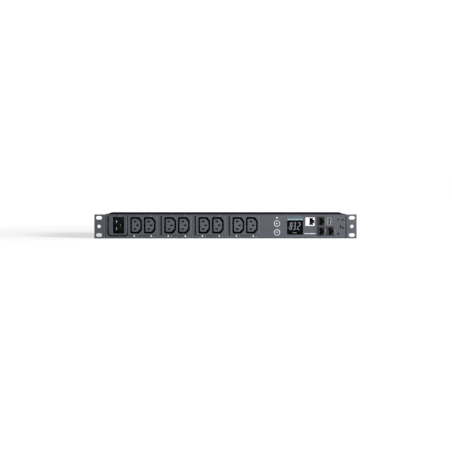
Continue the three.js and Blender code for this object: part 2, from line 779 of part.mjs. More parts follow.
// A flat bar behind the outlets, with a finger reaching forward to each one.
function busbar(y, contactName) {
  const contact = CONTACTS.find(({ name }) => name === contactName);
  const places = pairCentres.flatMap((x) => OUTLET_OFFSETS.map((offset) => x + offset + contact.x));
  const z = SOCKET_Z + contact.z;
  const { thickness, halfHeight, overhang } = BUSBAR;
  const [left, right] = [places[0] - overhang, places.at(-1) + overhang];
  const strip = block(left, right, y, y + thickness, z - halfHeight, z + halfHeight);
  const [tip, root] = [PAIR_BODY.back + GAP, y + thickness / 2];
  const fingers = places.map((x) => block(x - 2, x + 2, tip, root, z - 0.5, z + 0.5));
  return join(strip, ...fingers);
}

// A threaded stud with a flange and a nut, standing on the tray's floor.
function earthStud() {
  const floor = -TOP + TRAY_SHEET + GAP;
  const profile = [
    [0, floor],
    [5, floor],
    [5, floor + 1.5],
    [4, floor + 1.5],
    [4, floor + 5],
    [2, floor + 5],
    [2, floor + 9],
    [0, floor + 9],
  ];
  return turned(profile, 6).rotateX(Math.PI / 2);
}

// An insulated wire through the points [x, y, z].
function wire(points, radius = 1.6) {
  const path = new THREE.CatmullRomCurve3(points.map((p) => new THREE.Vector3(...p)));
  const section = new THREE.Shape();
  section.absarc(0, 0, radius, 0, 2 * Math.PI);
  return new THREE.ExtrudeGeometry(section, { steps: 18, curveSegments: 4, extrudePath: path });
}

function wiringGroup() {
  const group = new THREE.Group();
  const tabEnd = BLADE.tabEnd + GAP;
  const straight = tabEnd + 5;
  const [lineTab, earthTab, neutralTab] = BLADES.map(({ x, z }) => [INLET_X + x, SOCKET_Z + z]);
  const leavingTab = ([x, z]) => [[x, tabEnd, z], [x, straight, z]];

  const ring = { x: -196, y: 80, z: BOARD_TOP + 12.2 };
  group.add(namedMesh('current_transformer', currentTransformer(), blackPlastic(), ring.x, ring.y, ring.z));
  const lineRoute = [
    ...leavingTab(lineTab),
    [-199, 54, 6],
    [ring.x, 68, ring.z + 0.5],
    [ring.x, ring.y, ring.z],
    [ring.x, 92, ring.z],
    [-187, 107, -3],
    [-170, 118, -8],
    [-158, 120, BOARD_TOP + 2],
  ];
  group.add(namedMesh('line_wire', wire(lineRoute), insulation(0x6b3f22)));

  const barZ = SOCKET_Z + CONTACTS.find(({ name }) => name === 'neutral').z;
  const neutralRoute = [
    ...leavingTab(neutralTab),
    [-196, 47, -8],
    [-184, 48, -6],
    [-173, 46, 4],
    [-168.5, 40, barZ - 0.5],
    [-168.5, 34, barZ],
    [-168.5, NEUTRAL_BAR_Y + BUSBAR.thickness + GAP, barZ],
  ];
  group.add(namedMesh('neutral_wire', wire(neutralRoute), insulation(0x2f6fb5)));

  const stud = { x: -208, y: 65 };
  const earthRoute = [
    ...leavingTab(earthTab),
    [-195, 50, -1],
    [-202, 57, -7],
    [stud.x + 1.5, stud.y - 4.5, -12.5],
  ];
  group.add(namedMesh('earth_wire', wire(earthRoute), insulation(0x6fae3a)));
  group.add(namedMesh('earth_stud', earthStud(), bareSteel(), stud.x, stud.y));
  return group;
}

function powerGroup() {
  const group = new THREE.Group();
  const { x0, x1, y0, y1, z } = RELAY_BOARD;
  group.add(namedMesh('relay_board', block(x0, x1, y0, y1, z, z + BOARD_SHEET), boardGreen()));
  group.add(namedMesh('relay_bank_left', relayBank(), blackPlastic(), -145, RELAY.front, BOARD_TOP));
  group.add(namedMesh('relay_bank_right', relayBank(), blackPlastic(), -65, RELAY.front, BOARD_TOP));
  group.add(namedMesh('supply_transformer', supplyTransformer(), bareSteel(), 28, 118, BOARD_TOP));
  const capacitor = barAlongZ(7, 0, 24, 0, 0, 16);
  group.add(namedMesh('supply_capacitor', capacitor, blackPlastic(), 58, 118, BOARD_TOP));
  group.add(namedMesh('supply_fuse', supplyFuse(), bareSteel(), 30, 88, BOARD_TOP + 3));
  group.add(namedMesh('busbar_neutral', busbar(NEUTRAL_BAR_Y, 'neutral'), copper()));
  group.add(namedMesh('busbar_earth', busbar(EARTH_BAR_Y, 'earth'), copper()));
  return group;
}

// ---- The whole strip ----

const strip = new THREE.Group();
strip.name = 'rack_power_strip';
strip.position.set(0, (BEZEL_PROUD - DEPTH) / 2, TOP);
strip.add(caseGroup());
strip.add(inletGroup());
strip.add(...outletGroups());
strip.add(lampGroup());
strip.add(...buttonGroups());
strip.add(displayGroup());
strip.add(networkGroup());
strip.add(powerGroup());
strip.add(wiringGroup());

export default strip;
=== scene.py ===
# %% [markdown]
# # A rack power strip
# The strip's working shapes come finished from the workshop: folded steel, moulded sockets, two push
# buttons that really slide. This lesson gives them the looks of the real thing. Hard edges are eased, small
# parts that repeat are made once and set out in rows, and every finish is built from procedural nodes.

# %% The strip as it came from the workshop
import json
from math import atan2, cos, pi, radians, sin

import bmesh
import bpy
from mathutils import Matrix, Vector


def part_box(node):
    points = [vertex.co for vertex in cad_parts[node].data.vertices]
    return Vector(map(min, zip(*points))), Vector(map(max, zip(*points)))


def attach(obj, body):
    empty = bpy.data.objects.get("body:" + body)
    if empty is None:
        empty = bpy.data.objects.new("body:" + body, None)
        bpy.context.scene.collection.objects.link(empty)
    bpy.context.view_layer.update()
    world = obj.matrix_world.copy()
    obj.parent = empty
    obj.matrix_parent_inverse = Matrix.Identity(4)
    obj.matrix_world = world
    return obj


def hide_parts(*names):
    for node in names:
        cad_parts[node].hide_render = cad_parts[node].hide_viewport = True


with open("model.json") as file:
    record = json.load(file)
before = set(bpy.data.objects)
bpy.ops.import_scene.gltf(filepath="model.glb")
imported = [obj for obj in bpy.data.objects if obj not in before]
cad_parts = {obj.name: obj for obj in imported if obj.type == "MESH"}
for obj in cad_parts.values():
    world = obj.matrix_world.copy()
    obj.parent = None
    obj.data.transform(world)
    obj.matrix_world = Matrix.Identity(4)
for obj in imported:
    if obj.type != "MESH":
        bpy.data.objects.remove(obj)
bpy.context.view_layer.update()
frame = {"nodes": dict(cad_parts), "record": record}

MM = 0.001
body_of = {node: body for body, nodes in frame["record"]["behaviour"]["bodies"].items() for node in nodes}
slot_of = {entry["node"]: entry["material_slot"] for entry in frame["record"]["subparts"]}
panel_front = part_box("front_panel")[0].y
panel_middle = (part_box("front_panel")[0].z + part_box("front_panel")[1].z) / 2

# %% [markdown]
# ## Small steps for building finishes
# A finish is a Principled shader whose colour, roughness and relief vary a little over the surface. Three
# small helpers are enough: a noise that sits still on the piece, a way to turn it into numbers between two
# limits, and a way to turn it into relief. Object coordinates are in metres here, so a noise scale of 1000
# gives grains about a millimetre across.

# %% Helpers for finishes
def new_finish(name, roughness=0.5, metallic=0.0, specular=0.5):
    finish = bpy.data.materials.new(name)
    finish.use_nodes = True
    tree = finish.node_tree
    shader = tree.nodes["Principled BSDF"]
    shader.inputs["Roughness"].default_value = roughness
    shader.inputs["Metallic"].default_value = metallic
    shader.inputs["Specular IOR Level"].default_value = specular
    return finish, tree, shader


def noise(tree, scale, detail=2.0, stretch=(1, 1, 1)):
    place = tree.nodes.new("ShaderNodeTexCoord")
    mapping = tree.nodes.new("ShaderNodeMapping")
    mapping.inputs["Scale"].default_value = stretch
    grain = tree.nodes.new("ShaderNodeTexNoise")
    grain.inputs["Scale"].default_value = scale
    grain.inputs["Detail"].default_value = detail
    tree.links.new(place.outputs["Object"], mapping.inputs["Vector"])
    tree.links.new(mapping.outputs["Vector"], grain.inputs["Vector"])
    return grain.outputs["Fac"]


def coordinate(tree, axis):
    place = tree.nodes.new("ShaderNodeTexCoord")
    split = tree.nodes.new("ShaderNodeSeparateXYZ")
    tree.links.new(place.outputs["Object"], split.inputs["Vector"])
    return split.outputs[axis]


def between(tree, value, low, high, start=0.3, stop=0.7):
    spread = tree.nodes.new("ShaderNodeMapRange")
    spread.inputs["From Min"].default_value = start
    spread.inputs["From Max"].default_value = stop
    spread.inputs["To Min"].default_value = low
    spread.inputs["To Max"].default_value = high
    tree.links.new(value, spread.inputs["Value"])
    return spread.outputs["Result"]


def blended(tree, value, first, second):
    mix = tree.nodes.new("ShaderNodeMix")
    mix.data_type = "RGBA"
    tree.links.new(value, mix.inputs["Factor"])
    for socket, colour in ((mix.inputs[6], first), (mix.inputs[7], second)):
        if isinstance(colour, bpy.types.NodeSocket):
            tree.links.new(colour, socket)
        else:
            socket.default_value = (*colour, 1)
    return mix.outputs[2]


def relief(tree, shader, height, depth):
    bump = tree.nodes.new("ShaderNodeBump")
    bump.inputs["Strength"].default_value = 0.5
    bump.inputs["Distance"].default_value = depth
    tree.links.new(height, bump.inputs["Height"])
    tree.links.new(bump.outputs["Normal"], shader.inputs["Normal"])


def multiplied(tree, first, second):
    product = tree.nodes.new("ShaderNodeMath")
    product.operation = "MULTIPLY"
    tree.links.new(first, product.inputs[0])
    tree.links.new(second, product.inputs[1])
    return product.outputs["Value"]


def scaled(colour, factor):
    return tuple(channel * factor for channel in colour)


# %% [markdown]
# ## Powder coat
# The panel, ears and case are steel with a baked powder coat. Close up it has a fine orange-peel relief, its
# colour drifts a little from place to place, and handling thins it along the folded edges, where it looks
# paler and smoother. The eased edges carry a value called edge, so the wear follows the shape itself.

# %% Powder coat
def powder_coat(name, colour, edge_colour, specular):
    finish, tree, shader = new_finish(name, specular=specular)
    drift = between(tree, noise(tree, 22, 3.0), 0.0, 1.0)
    peel = noise(tree, 1500, 2.0)
    broad = blended(tree, drift, scaled(colour, 0.9), scaled(colour, 1.1))
    speckled = blended(tree, between(tree, peel, 0.0, 0.35, 0.55, 0.75), broad, scaled(colour, 1.5))
    edge = tree.nodes.new("ShaderNodeAttribute")
    edge.attribute_name = "edge"
    patches = between(tree, noise(tree, 160, 4.0), 0.15, 0.75, 0.42, 0.62)
    worn = multiplied(tree, edge.outputs["Fac"], patches)
    tree.links.new(blended(tree, worn, speckled, edge_colour), shader.inputs["Base Color"])
    tree.links.new(between(tree, peel, 0.5, 0.68), shader.inputs["Roughness"])
    relief(tree, shader, peel, 0.03 * MM)
    return finish


panel_paint = powder_coat("panel_powder_coat", (0.038, 0.0405, 0.0475), (0.085, 0.09, 0.1), 0.08)
case_paint = powder_coat("case_powder_coat", (0.0145, 0.0155, 0.018), (0.026, 0.028, 0.032), 0.0)
print("powder coats:", panel_paint.name, case_paint.name)

# %% [markdown]
# ## Moulded plastics
# Sockets, caps and jacks are injection moulded. Spark-eroded moulds leave a fine satin grain, and gloss parts
# come from polished moulds, so one recipe covers them all: colour, roughness and the depth of its grain. Some
# get painted shade: their face keeps its colour, and everything behind it is painted near-black for the shade
# that falls inside their wells and mouths.

# %% Moulded plastics
def moulded(name, colour, roughness, grain_depth=0.02, specular=0.2, painted_shade=None):
    """painted_shade = (colour, y): everything behind the plane at y is painted this dark colour, as painted
    shade inside the hollows.
    """
    finish, tree, shader = new_finish(name, specular=specular)
    cloud = between(tree, noise(tree, 60, 3.0), 0.0, 1.0)
    grain = noise(tree, 2600, 2.0)
    edge = tree.nodes.new("ShaderNodeAttribute")
    edge.attribute_name = "edge"
    rubbed = multiplied(tree, edge.outputs["Fac"], between(tree, noise(tree, 300, 2.0), 0.1, 0.6))
    body_colour = blended(tree, cloud, scaled(colour, 0.93), scaled(colour, 1.07))
    paler = tuple(channel * 1.3 + 0.01 for channel in colour)
    worn = blended(tree, rubbed, body_colour, paler)
    if painted_shade:
        # Painted shade: behind the plane at y the colour turns near-black.
        behind = between(tree, coordinate(tree, "Y"), 0.0, 1.0, painted_shade[1], painted_shade[1] + 0.1 * MM)
        worn = blended(tree, behind, worn, painted_shade[0])
    tree.links.new(worn, shader.inputs["Base Color"])
    tree.links.new(between(tree, grain, roughness - 0.05, roughness + 0.07), shader.inputs["Roughness"])
    relief(tree, shader, grain, grain_depth * MM)
    return finish


# Painted shade: near-black for all of a part deeper than depth mm behind its face, where its wells, slots and
# mouths lie in shade.
def painted_shade_behind(node, depth):
    return (0.006, 0.006, 0.008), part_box(node)[0].y + depth * MM


# The sockets, cores, jacks and the white jack get painted shade behind their faces.
socket_plastic = moulded("socket_plastic", (0.035, 0.0375, 0.044), 0.5,
                         painted_shade=painted_shade_behind("outlet_housing_1", 1.0))
core_plastic = moulded("core_plastic", (0.037, 0.04, 0.047), 0.48, painted_shade=painted_shade_behind("outlet_core_1", 0.2))
inlet_plastic = moulded("inlet_plastic", (0.032, 0.034, 0.042), 0.5)
cap_plastic = moulded("cap_plastic", (0.04, 0.0425, 0.05), 0.42)
ring_plastic = moulded("ring_plastic", (0.28, 0.29, 0.31), 0.34, 0.008)
jack_plastic = moulded("jack_plastic", (0.008, 0.008, 0.0095), 0.4, painted_shade=painted_shade_behind("serial_jack", 1))
black_plastic = moulded("black_plastic", (0.012, 0.012, 0.014), 0.4)
# Painted shadow: a matt near-black for the strip under the inlet's bezel.
soft_rubber = moulded("soft_rubber", (0.004, 0.004, 0.005), 0.7, specular=0.0)
tongue_plastic = moulded("tongue_plastic", (0.06, 0.06, 0.064), 0.4)
white_face = moulded("white_face", (0.34, 0.345, 0.36), 0.32, 0.006, 0.1,
                     painted_shade=painted_shade_behind("ethernet_jack", 0.4))
print("ten moulded plastics")

# %% [markdown]
# ## Metals
# Nickel-plated blades, gilded contact wires, blackened screws, bare steel and copper bars. Rolled and
# drawn metal has a grain in one direction, which a stretched noise gives, and it shows in the roughness
# more than in the colour.

# %% Metals
def metal(name, colour, roughness, stretch=(1, 1, 12)):
    finish, tree, shader = new_finish(name, metallic=1.0)
    streaks = noise(tree, 900, 3.0, stretch)
    tone = between(tree, noise(tree, 120, 2.0), 0.0, 1.0)
    tree.links.new(blended(tree, tone, scaled(colour, 0.88), colour), shader.inputs["Base Color"])
    tree.links.new(between(tree, streaks, roughness - 0.08, roughness + 0.12), shader.inputs["Roughness"])
    relief(tree, shader, streaks, 0.006 * MM)
    return finish


nickel = metal("nickel_plate", (0.17, 0.17, 0.168), 0.45)
# Painted shade: the gold is painted far darker than gold, for the shade deep in the jacks' mouths.
shaded_gilding = metal("gilded_contact", (0.12, 0.085, 0.035), 0.45)
bright_steel = metal("bright_steel", (0.5, 0.51, 0.53), 0.38)
# Painted shade: the port's shell is painted darker than the bright steel, for the shade inside the port.
shaded_shell_steel = metal("tinned_shell", (0.3, 0.303, 0.31), 0.42)
black_screw = metal("blackened_steel", (0.015, 0.015, 0.017), 0.5, (1, 1, 1))
copper = metal("bare_copper", (0.76, 0.42, 0.27), 0.35, (0.1, 1, 1))
print("six metals")

# %% [markdown]
# ## Window, lamps, ink and board
# The display window is a thin glossy sheet with faint wipe marks. The lamps are clear moulded lenses lit from
# behind, so they shine by themselves. Printing is ink: matt, a little uneven. Circuit board is green resin
# with lighter copper tracks just under it, which a fine grid of bricks suggests.

# %% Window, lamps, ink and board
def display_gloss():
    finish, tree, shader = new_finish("display_gloss", specular=0.03)
    wiped = noise(tree, 90, 4.0, (1, 1, 0.2))
    wiped_black = blended(tree, wiped, (0.0004, 0.0004, 0.0008), (0.001, 0.001, 0.0018))
    tree.links.new(wiped_black, shader.inputs["Base Color"])
    tree.links.new(between(tree, wiped, 0.05, 0.16), shader.inputs["Roughness"])
    return finish


def lit_lens(name, colour, glow):
    finish, tree, shader = new_finish(name, roughness=0.18)
    cloud = between(tree, noise(tree, 700, 2.0), 0.0, 1.0)
    lit = blended(tree, cloud, scaled(colour, 0.92), colour)
    unlit = blended(tree, cloud, scaled(colour, 0.1), scaled(colour, 0.13))
    tree.links.new(unlit, shader.inputs["Base Color"])
    tree.links.new(lit, shader.inputs["Emission Color"])
    shader.inputs["Emission Strength"].default_value = glow
    return finish


def ink(name, colour, glow=0.0):
    finish, tree, shader = new_finish(name, roughness=0.6, specular=0.3)
    uneven = between(tree, noise(tree, 1800, 3.0), 0.0, 1.0)
    printed = blended(tree, uneven, scaled(colour, 0.9), colour)
    tree.links.new(printed, shader.inputs["Base Color"])
    if glow:
        tree.links.new(printed, shader.inputs["Emission Color"])
        shader.inputs["Emission Strength"].default_value = glow
    relief(tree, shader, uneven, 0.004 * MM)
    return finish


def circuit_board():
    finish, tree, shader = new_finish("circuit_board", roughness=0.38)
    place = tree.nodes.new("ShaderNodeTexCoord")
    tracks = tree.nodes.new("ShaderNodeTexBrick")
    tracks.inputs["Scale"].default_value = 220
    tracks.inputs["Mortar Size"].default_value = 0.06
    tracks.inputs["Color1"].default_value = (0.012, 0.075, 0.03, 1)
    tracks.inputs["Color2"].default_value = (0.016, 0.09, 0.036, 1)
    tracks.inputs["Mortar"].default_value = (0.05, 0.2, 0.07, 1)
    tree.links.new(place.outputs["Object"], tracks.inputs["Vector"])
    resin = between(tree, noise(tree, 500, 2.0), 0.0, 0.4)
    coated = blended(tree, resin, tracks.outputs["Color"], (0.01, 0.06, 0.025))
    tree.links.new(coated, shader.inputs["Base Color"])
    relief(tree, shader, tracks.outputs["Fac"], 0.02 * MM)
    return finish


window_gloss = display_gloss()
lamp_glow = lit_lens("lamp_glow", (0.96, 1.0, 0.8), 0.66)
pale_ink = ink("pale_ink", (0.36, 0.365, 0.39))
number_ink = ink("number_ink", (0.2, 0.205, 0.225))
grey_ink = ink("grey_ink", (0.105, 0.11, 0.125))
dim_ink = ink("dim_ink", (0.055, 0.065, 0.075))
blue_ink = ink("blue_ink", (0.03, 0.045, 0.055))
sky_ink = ink("sky_ink", (0.19, 0.255, 0.29))
segment_glow = ink("segment_glow", (0.1, 0.105, 0.125), 0.3)
board_green = circuit_board()
print("window, lamps, six inks and the board")

# %% [markdown]
# ## Turning a workshop piece into a finished one
# Nothing made of sheet or plastic has a perfectly sharp edge, and it is the thin bright line along an
# eased edge that makes a part look real. A clean copy of each shape is made: corners welded, flat areas
# joined, then every hard edge is rounded off. The new narrow faces are marked with edge = 1 for the
# finishes to find. At the end the normals are weighted by area, so that broad faces stay flat and only the
# eased edges look round.

# %% Easing the edges
def clean_copy(node, cuts=()):
    shape = bmesh.new()
    shape.from_mesh(frame["nodes"][node].data)
    bmesh.ops.remove_doubles(shape, verts=shape.verts, dist=0.002 * MM)
    for x in cuts:
        whole = [*shape.verts, *shape.edges, *shape.faces]
        cut = bmesh.ops.bisect_plane(shape, geom=whole, dist=0.001 * MM, plane_co=(x, 0, 0),
                                     plane_no=(1, 0, 0))
        for edge in (item for item in cut["geom_cut"] if isinstance(item, bmesh.types.BMEdge)):
            edge.seam = True
    bmesh.ops.dissolve_limit(shape, angle_limit=radians(0.6), verts=shape.verts, edges=shape.edges,
                             delimit={"SEAM"})
    return shape


def ease_edges(shape, width, steps=2, hard=radians(32)):
    marks = shape.faces.layers.float.new("edge")
    sharp = [edge for edge in shape.edges if edge.is_manifold and edge.calc_face_angle(0) > hard]
    made = bmesh.ops.bevel(shape, geom=sharp, offset=width, segments=steps, profile=0.5,
                           affect="EDGES", clamp_overlap=False)
    for face in made["faces"]:
        face[marks] = 1.0


def object_from(shape, name, finish):
    mesh = bpy.data.meshes.new(name)
    for face in shape.faces:
        face.smooth = True
    shape.to_mesh(mesh)
    shape.free()
    mesh.materials.append(finish)
    piece = bpy.data.objects.new(name, mesh)
    bpy.context.collection.objects.link(piece)
    return piece


def flattened_normals(piece):
    """Weights the normals by face area, then keeps the result as a plain mesh."""
    weigh = piece.modifiers.new("weigh_normals", "WEIGHTED_NORMAL")
    weigh.weight = 80
    return made_plain(piece)


def made_plain(piece):
    """Swaps a piece's mesh for its evaluated one, and takes its modifiers away."""
    evaluated = piece.evaluated_get(bpy.context.evaluated_depsgraph_get())
    mesh = bpy.data.meshes.new_from_object(evaluated)
    mesh.name = piece.name
    piece.modifiers.clear()
    piece.data = mesh
    return piece


def settle(piece, body, slot, *nodes):
    """Puts a finished piece on its body and hides the workshop pieces it stands for; slot is not used."""
    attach(piece, body)
    if nodes:
        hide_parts(*nodes)
    return piece


def eased(node, width, finish, steps=2, cuts=()):
    shape = clean_copy(node, cuts)
    ease_edges(shape, width * MM, steps)
    piece = flattened_normals(object_from(shape, f"eased_{node}", finish))
    return settle(piece, body_of[node], slot_of[node], node)


# %% [markdown]
# ## The case
# The panel, the ears, the tray and the lid keep their workshop shapes. Sheet steel 1.4 to 2 mm thick is
# eased by 0.2 to 0.25 mm, which is the burr a deburring wheel takes off before painting. The panel is full
# of holes, and a flat face with a hole in it can't be one face. So it is first cut through every hole.

# %% The case
LAMP_COUNT = 8
LAMP_MARGIN = 3 * MM  # the lamps' rail runs this far past the first and last lens


def middle_x(node):
    return (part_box(node)[0].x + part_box(node)[1].x) / 2


low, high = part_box("outlet_lenses")
lamp_low, lamp_high = low.x + LAMP_MARGIN, high.x - LAMP_MARGIN
lamp_x = [lamp_low + (lamp_high - lamp_low) * i / (LAMP_COUNT - 1) for i in range(LAMP_COUNT)]
filled = ["inlet_housing", *(f"outlet_housing_{n}" for n in range(1, 5)), "button_ring_upper",
          "display_window", "ethernet_jack", "serial_jack", "sensor_jack_right", "usb_shell"]
small_holes = (-0.2162, 0.2076, 0.2116, 0.2162)  # each passes through a column of screw holes or the slot
holes = [*map(middle_x, filled), *lamp_x, *small_holes]
eased("front_panel", 0.25, panel_paint, cuts=sorted(holes))
for node in ("rack_ear_left", "rack_ear_right"):
    eased(node, 0.25, panel_paint)
for node in ("top_cover", "chassis_tray"):
    eased(node, 0.2, case_paint)

# %% [markdown]
# ## The inlet and outlets
# Mouldings have larger radii than sheet metal, so their edges are eased by 0.3 to 0.35 mm, and the plated
# blades, which have to slide into a plug, by 0.8 mm.

# %% The inlet and outlets
eased("inlet_housing", 0.35, inlet_plastic)
for contact in ("line", "earth", "neutral"):
    eased(f"inlet_pin_{contact}", 0.8, nickel, 3)
for number in range(1, 5):
    eased(f"outlet_housing_{number}", 0.3, socket_plastic)
for number in range(1, 9):
    eased(f"outlet_core_{number}", 0.3, core_plastic)
print("inlet and eight outlets eased")

# %% [markdown]
# ## Network sockets
# Four moulded jacks and a folded steel shell. Their mouths and notches come from the workshop, and easing
# them gives the lead-in that a plug needs.

# %% Network sockets
eased("ethernet_jack", 0.25, white_face)
for node in ("serial_jack", "sensor_jack_left", "sensor_jack_right"):
    eased(node, 0.2, jack_plastic)
eased("usb_shell", 0.15, shaded_shell_steel)
eased("usb_tongue", 0.2, tongue_plastic)
eased("display_window", 0.25, window_gloss)
print("sockets and window eased")

# %% [markdown]
# ## A tree that sets copies out at given places
# Contacts, screws and lamps are the same small part many times over. One Geometry Nodes tree does them
# all: it takes the points of the mesh it sits on, puts a copy of a pattern piece at each, makes the copies
# real and gives them their finish. Its inputs have names, so the same tree serves every kind of part.

# %% The set-out tree
def set_out_tree():
    tree = bpy.data.node_groups.new("set_out_copies", "GeometryNodeTree")
    face = tree.interface
    face.new_socket("Places", in_out="INPUT", socket_type="NodeSocketGeometry")
    face.new_socket("Pattern", in_out="INPUT", socket_type="NodeSocketObject")
    face.new_socket("Finish", in_out="INPUT", socket_type="NodeSocketMaterial")
    face.new_socket("Size", in_out="INPUT", socket_type="NodeSocketFloat").default_value = 1.0
    face.new_socket("Copies", in_out="OUTPUT", socket_type="NodeSocketGeometry")
    given = tree.nodes.new("NodeGroupInput")
    result = tree.nodes.new("NodeGroupOutput")
    pattern = tree.nodes.new("GeometryNodeObjectInfo")
    points = tree.nodes.new("GeometryNodeMeshToPoints")
    copies = tree.nodes.new("GeometryNodeInstanceOnPoints")
    real = tree.nodes.new("GeometryNodeRealizeInstances")
    finish = tree.nodes.new("GeometryNodeSetMaterial")
    link = tree.links.new
    link(given.outputs["Pattern"], pattern.inputs["Object"])
    link(given.outputs["Places"], points.inputs["Mesh"])
    link(points.outputs["Points"], copies.inputs["Points"])
    link(pattern.outputs["Geometry"], copies.inputs["Instance"])
    link(given.outputs["Size"], copies.inputs["Scale"])
    link(copies.outputs["Instances"], real.inputs["Geometry"])
    link(real.outputs["Geometry"], finish.inputs["Geometry"])
    link(given.outputs["Finish"], finish.inputs["Material"])
    link(finish.outputs["Geometry"], result.inputs["Copies"])
    return tree


set_out = set_out_tree()


def input_id(tree, name):
    return next(item.identifier for item in tree.interface.items_tree
                if item.item_type == "SOCKET" and item.in_out == "INPUT" and item.name == name)


def copies_at(name, places, pattern, finish):
    """One plain mesh that holds a copy of the pattern at each place."""
    mesh = bpy.data.meshes.new(name)
    mesh.from_pydata([tuple(place) for place in places], [], [])
    row = bpy.data.objects.new(name, mesh)
    bpy.context.collection.objects.link(row)
    modifier = row.modifiers.new("set_out", "NODES")
    modifier.node_group = set_out
    modifier[input_id(set_out, "Pattern")] = pattern
    modifier[input_id(set_out, "Finish")] = finish
    made_plain(row)
    bpy.data.objects.remove(pattern)
    print(f"{name}: {len(places)} copies, {len(row.data.polygons)} faces")
    return row


# %% [markdown]
# ## Turned shapes
# Lenses, rings, caps and screw heads are round. Spinning half a section round the line through its centre
# makes each of them. A short helper rounds the section's corners first, so that the edges catch light.

# %% Helper for turned shapes
def arc(centre, radius, start, stop, steps=6):
    """Points [radius, y] on an arc of a section; angles in degrees from the outward direction."""
    angles = [radians(start + (stop - start) * step / steps) for step in range(steps + 1)]
    return [(centre[0] + radius * cos(a), centre[1] + radius * sin(a)) for a in angles]


def spun(section, centre=(0.0, 0.0), steps=64):
    """Spins a section of points [radius, y] in millimetres about the y line through centre (x, z)."""
    shape = bmesh.new()
    points = [shape.verts.new((r * MM + centre[0], y * MM, centre[1])) for r, y in section]
    rims = [shape.edges.new(pair) for pair in zip(points, points[1:])]
    bmesh.ops.spin(shape, geom=points + rims, cent=(centre[0], 0, centre[1]), axis=(0, 1, 0),
                   dvec=(0, 0, 0), angle=2 * pi, steps=steps, use_merge=True)
    bmesh.ops.remove_doubles(shape, verts=shape.verts, dist=0.001 * MM)
    bmesh.ops.recalc_face_normals(shape, faces=shape.faces)
    return shape


def block(shape, low, high):
    """Adds a box between two corners, in metres."""
    size = [b - a for a, b in zip(low, high)]
    middle = [(a + b) / 2 for a, b in zip(low, high)]
    place = Matrix.Translation(middle) @ Matrix.Diagonal((*size, 1))
    return bmesh.ops.create_cube(shape, size=1, matrix=place)


# %% [markdown]
# ## Lamps
# Under each outlet a clear lens stands 0.8 mm out of the panel, on a rail that hides behind it. A domed end
# spreads the light, so the real ones are domes, not flat pegs. One dome is spun and set out eight times.

# %% Lamps
def lens_pattern(radius, proud, depth):
    """A dome whose rim lies at y = 0 and whose shank runs back to y = depth."""
    sphere = (radius * radius + proud * proud) / (2 * proud)
    half_angle = atan2(radius, sphere - proud)
    dome = [(sphere * sin(half_angle * step / 8), sphere - proud - sphere * cos(half_angle * step / 8))
            for step in range(9)]
    shape = spun([*dome, (radius, depth), (0.0, depth)], steps=32)
    return object_from(shape, "lens_pattern", lamp_glow)


low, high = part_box("outlet_lenses")
lens_radius, lens_proud = (high.z - low.z) / 2, panel_front - low.y
lens_places = [(x, panel_front, (low.z + high.z) / 2) for x in lamp_x]
pattern = lens_pattern(lens_radius / MM, lens_proud / MM, 3.2)
lenses = copies_at("outlet_lamp_lenses", lens_places, pattern, lamp_glow)
settle(lenses, "strip", slot_of["outlet_lenses"], "outlet_lenses")

low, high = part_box("status_lens")
status_place = ((low.x + high.x) / 2, panel_front, (low.z + high.z) / 2)
status = copies_at("status_lamp_lens", [status_place], lens_pattern(1.5, lens_proud / MM, 14), lamp_glow)
settle(status, "strip", slot_of["status_lens"], "status_lens")

# %% [markdown]
# ## Push buttons
# Each button is a pale ring clipped into the panel and a cap that slides in it. The ring's lip is fully
# rounded. The cap's face is dished a little for a fingertip, and its collar behind the ring keeps it in. The
# cap rides on its own body, so it moves when the button is pressed, and its printed symbol moves with it.

# %% Push buttons
def ring_section(bore, barrel, flange, proud, back):
    lip = proud / 2
    return [
        (bore, back),
        *arc((bore + lip, -proud + lip), lip, 180, 270),
        *arc((flange - lip, -proud + lip), lip, 270, 360),
        (flange, -0.05),
        (barrel, -0.05),
        (barrel, back),
        (bore, back),
    ]


def cap_section(radius, front, collar, collar_front, collar_back, stem, stem_end, dish=0.25, edge=0.45):
    dished = [(radius * 0.86 * step / 8, front + dish * (1 - (step / 8) ** 2)) for step in range(9)]
    return [
        *dished,
        *arc((radius - edge, front + edge), edge, 270, 360),
        (radius, collar_front),
        (collar, collar_front),
        (collar, collar_back),
        (stem, collar_back),
        (stem, stem_end),
        (0.0, stem_end),
    ]


RING_BORE, RING_BARREL, CAP_RADIUS = 4.5, 5.1, 4.2
for level in ("upper", "lower"):
    low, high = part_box(f"button_ring_{level}")
    centre = ((low.x + high.x) / 2, (low.z + high.z) / 2)
    flange, proud = (high.x - low.x) / 2 / MM, (panel_front - low.y) / MM
    ring_outline = ring_section(RING_BORE, RING_BARREL, flange, proud, (high.y - panel_front) / MM)
    ring_shape = spun(ring_outline, centre, 96)
    bmesh.ops.translate(ring_shape, verts=ring_shape.verts, vec=(0, panel_front, 0))
    ring = flattened_normals(object_from(ring_shape, f"turned_ring_{level}", ring_plastic))
    settle(ring, "strip", slot_of[f"button_ring_{level}"], f"button_ring_{level}")

    low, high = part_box(f"button_cap_{level}")
    front, stem_end = (low.y - panel_front) / MM, (high.y - panel_front) / MM
    section = cap_section(CAP_RADIUS, front, (high.x - low.x) / 2 / MM, 4.3, 5.3, 2.0, stem_end)
    cap_shape = spun(section, centre, 96)
    bmesh.ops.translate(cap_shape, verts=cap_shape.verts, vec=(0, panel_front, 0))
    cap = flattened_normals(object_from(cap_shape, f"turned_cap_{level}", cap_plastic))
    settle(cap, f"button_{level}", slot_of[f"button_cap_{level}"], f"button_cap_{level}")
    print(f"{level} button: ring {2 * flange:.1f} mm across, cap face at {front:.2f} mm")

# %% [markdown]
# ## Screws
# The panel's small screws are blackened pan heads that close its holes, which is why they look like dark
# dots. The two beside the inlet are sunk in theirs. The side screws are larger pan heads. All have a cross
# recess. A recess could be cut with a boolean, but sunk faces inside a spun head are simpler and always
# close: the head is built as a ring of faces round a cross-shaped floor.

